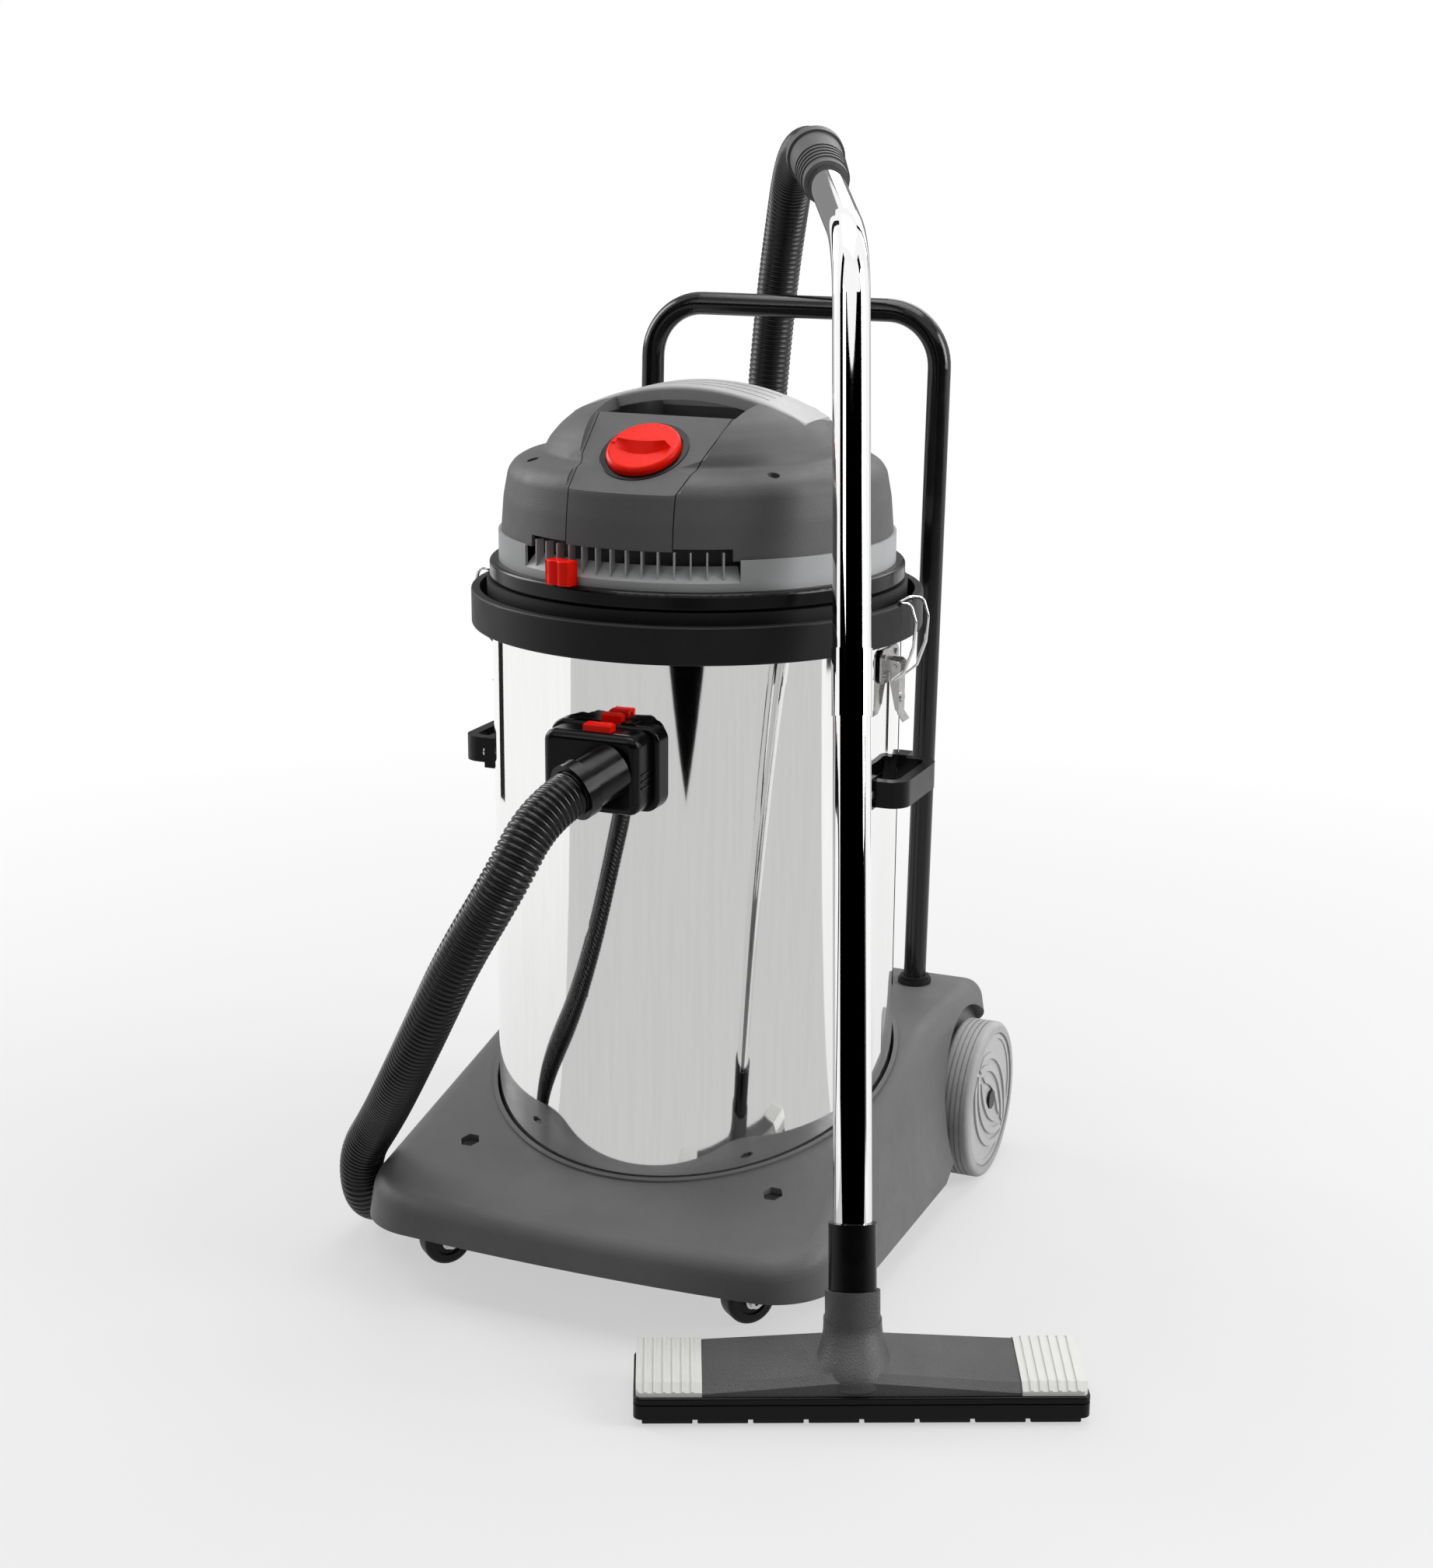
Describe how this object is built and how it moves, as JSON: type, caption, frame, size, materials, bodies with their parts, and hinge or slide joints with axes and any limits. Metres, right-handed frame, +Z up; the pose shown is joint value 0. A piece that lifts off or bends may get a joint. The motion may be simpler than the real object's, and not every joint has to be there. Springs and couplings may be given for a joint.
{
  "type": "wet and dry drum vacuum cleaner",
  "caption": "Wet and dry vacuum: steel drum on a wheeled trolley, motor head with rotary switch, plugged-in suction hose, bent wand and wide floor nozzle parked on it.",
  "frame": {"origin": "on the floor, on the drum's vertical axis", "axes": "+Z up; -Y is the front, where the inlet and the switch are; +X is to the right when the front is faced"},
  "size_m": [0.9059, 0.9388, 1.1949],
  "materials": {
    "trolley_plastic": "fine texture, charcoal",
    "cover_plastic": "fine texture, charcoal",
    "pale_plastic": "fine texture, light grey",
    "black_plastic": "satin black",
    "black_rubber": "soft black",
    "red_plastic": "satin red",
    "drum_steel": "mirror-polished stainless steel",
    "zinc_steel": "zinc-plated steel",
    "wire_steel": "bright steel wire",
    "bar_black": "gloss black powder coat",
    "tyre_grey": "light grey rubber",
    "hub_grey": "mid grey",
    "cap_ivory": "ivory grey",
    "wand_chrome": "chromed steel tube",
    "caster_black": "black caster tread",
    "foam": "open-cell foam",
    "filter_cloth": "woven polyester",
    "motor_metal": "cast aluminium"
  },
  "bodies": {
    "trolley_and_drum": {"chassis": "trolley_plastic", "push_handle": "bar_black", "handle_grommets": "black_rubber", "rear_axles": "zinc_steel", "axle_caps": "zinc_steel", "caster_plates": "zinc_steel", "trolley_bolts": "zinc_steel", "drum": "drum_steel", "collar": "black_rubber", "drum_seal": "black_rubber", "side_handles": "black_plastic", "handle_rivets": "zinc_steel", "latch_plates": "zinc_steel", "inlet_fitting": "black_plastic", "inlet_deflector": "black_plastic", "hose_connector": "black_plastic", "hose_cuff": "black_plastic", "hose": "black_plastic", "wand_cuff": "cover_plastic", "wand_upper": "wand_chrome", "wand_lower": "wand_chrome", "nozzle_sleeve": "black_plastic", "nozzle_body": "cover_plastic", "nozzle_shoe": "black_plastic", "nozzle_lips": "black_rubber", "nozzle_caps": "cap_ivory"},
    "motor_head": {"lid_base": "black_plastic", "vent_ring": "pale_plastic", "cover": "cover_plastic", "control_panel": "cover_plastic", "cover_screws": "zinc_steel", "knob_bezel": "black_plastic", "switch_body": "black_plastic", "carry_handle": "pale_plastic", "motors": "motor_metal", "motor_deck": "black_plastic", "foam_lining": "foam", "cable_gland": "black_rubber", "filter_frame": "black_plastic", "filter_cloth": "filter_cloth", "float_cage": "black_plastic"},
    "knob": {"power_knob": "red_plastic"},
    "rim_grip": {"lid_lock": "red_plastic"},
    "float_ball": {"float": "black_plastic"},
    "fan_rotor_left": {"fan_left": "motor_metal"},
    "rear_wheel_left": {"tyre_left": "tyre_grey", "hub_left": "hub_grey"},
    "caster_swivel_left": {"caster_fork_left": "zinc_steel"},
    "caster_roller_left": {"caster_wheel_left": "caster_black"},
    "toggle_lever_left": {"latch_lever_left": "zinc_steel"},
    "toggle_bail_left": {"latch_bail_left": "wire_steel"},
    "fan_rotor_right": {"fan_right": "motor_metal"},
    "rear_wheel_right": {"tyre_right": "tyre_grey", "hub_right": "hub_grey"},
    "caster_swivel_right": {"caster_fork_right": "zinc_steel"},
    "caster_roller_right": {"caster_wheel_right": "caster_black"},
    "toggle_lever_right": {"latch_lever_right": "zinc_steel"},
    "toggle_bail_right": {"latch_bail_right": "wire_steel"},
    "hose_release": {"connector_button": "red_plastic"},
    "inlet_release": {"fitting_button": "red_plastic"}
  },
  "joints": [
    {"name": "head_lift", "type": "slide", "parent": "trolley_and_drum", "child": "motor_head", "axis": [0, 0, 1], "range_m": [0, 0.04]},
    {"name": "power_switch", "type": "hinge", "parent": "motor_head", "child": "knob", "pos_m": [0, -0.137, 0.877], "axis": [0, -0.5157, 0.8568], "range_deg": [0, 90]},
    {"name": "rim_grip_pull", "type": "slide", "parent": "motor_head", "child": "rim_grip", "axis": [-0.2588, -0.9659, 0], "range_m": [0, 0.005], "stiffness_N_per_m": 800},
    {"name": "float_rise", "type": "slide", "parent": "motor_head", "child": "float_ball", "axis": [0, 0, 1], "range_m": [0, 0.045]},
    {"name": "fan_spin_left", "type": "hinge", "parent": "motor_head", "child": "fan_rotor_left", "pos_m": [-0.075, 0, 0.78], "axis": [0, 0, 1], "continuous": true},
    {"name": "rear_wheel_spin_left", "type": "hinge", "parent": "trolley_and_drum", "child": "rear_wheel_left", "pos_m": [-0.263, 0.22, 0.0915], "axis": [1, 0, 0], "continuous": true},
    {"name": "caster_turn_left", "type": "hinge", "parent": "trolley_and_drum", "child": "caster_swivel_left", "pos_m": [-0.177, -0.232, 0.06], "axis": [0, 0, 1], "continuous": true},
    {"name": "caster_roll_left", "type": "hinge", "parent": "caster_swivel_left", "child": "caster_roller_left", "pos_m": [-0.18857, -0.24579, 0.027], "axis": [0.766, -0.6428, 0], "continuous": true},
    {"name": "latch_lever_turn_left", "type": "hinge", "parent": "trolley_and_drum", "child": "toggle_lever_left", "pos_m": [-0.231, -0.006, 0.652], "axis": [0, 1, 0], "range_deg": [0, 120]},
    {"name": "latch_bail_turn_left", "type": "hinge", "parent": "toggle_lever_left", "child": "toggle_bail_left", "pos_m": [-0.231, -0.006, 0.638], "axis": [0, 1, 0], "range_deg": [-120, 0]},
    {"name": "fan_spin_right", "type": "hinge", "parent": "motor_head", "child": "fan_rotor_right", "pos_m": [0.075, 0, 0.78], "axis": [0, 0, 1], "continuous": true},
    {"name": "rear_wheel_spin_right", "type": "hinge", "parent": "trolley_and_drum", "child": "rear_wheel_right", "pos_m": [0.263, 0.22, 0.0915], "axis": [1, 0, 0], "continuous": true},
    {"name": "caster_turn_right", "type": "hinge", "parent": "trolley_and_drum", "child": "caster_swivel_right", "pos_m": [0.177, -0.232, 0.06], "axis": [0, 0, 1], "continuous": true},
    {"name": "caster_roll_right", "type": "hinge", "parent": "caster_swivel_right", "child": "caster_roller_right", "pos_m": [0.16543, -0.24579, 0.027], "axis": [0.766, -0.6428, 0], "continuous": true},
    {"name": "latch_lever_turn_right", "type": "hinge", "parent": "trolley_and_drum", "child": "toggle_lever_right", "pos_m": [0.231, -0.006, 0.652], "axis": [0, -1, 0], "range_deg": [0, 120]},
    {"name": "latch_bail_turn_right", "type": "hinge", "parent": "toggle_lever_right", "child": "toggle_bail_right", "pos_m": [0.231, -0.006, 0.638], "axis": [0, -1, 0], "range_deg": [-120, 0]},
    {"name": "connector_button_press", "type": "slide", "parent": "trolley_and_drum", "child": "hose_release", "axis": [0, 0, -1], "range_m": [0, 0.003], "stiffness_N_per_m": 600},
    {"name": "fitting_button_press", "type": "slide", "parent": "trolley_and_drum", "child": "inlet_release", "axis": [0, 0, -1], "range_m": [0, 0.003], "stiffness_N_per_m": 600}
  ],
  "couplings": [
    {"joint": "latch_bail_turn_left", "follows": "latch_lever_turn_left", "ratio": -1},
    {"joint": "latch_bail_turn_right", "follows": "latch_lever_turn_right", "ratio": -1}
  ]
}
